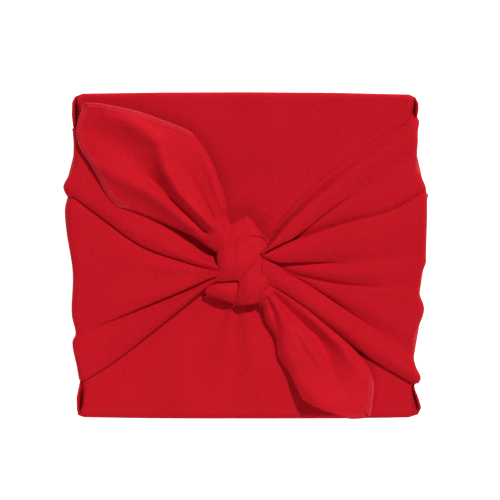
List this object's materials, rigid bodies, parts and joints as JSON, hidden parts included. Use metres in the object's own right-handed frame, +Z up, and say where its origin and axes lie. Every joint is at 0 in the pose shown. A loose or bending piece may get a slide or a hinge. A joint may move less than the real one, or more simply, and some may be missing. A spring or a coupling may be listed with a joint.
{
  "type": "furoshiki wrap on a box",
  "caption": "Square cloth folded over a flat square box and tied at the middle of its front, with a long and a short free end lying towards opposite corners.",
  "frame": {"origin": "middle of the parcel's outline at the height of its flat back, which lies on the surface", "axes": "+Z up out of the knotted front, +X to the right and +Y to the top of the front as it is looked at"},
  "size_m": [0.2552, 0.2278, 0.0981],
  "materials": {
    "cloth": "matt plain crepe weave, bright red",
    "box": "plain card, hidden inside the cloth"
  },
  "bodies": {
    "root": {"cloth": "cloth", "box": "box"}
  },
  "joints": []
}
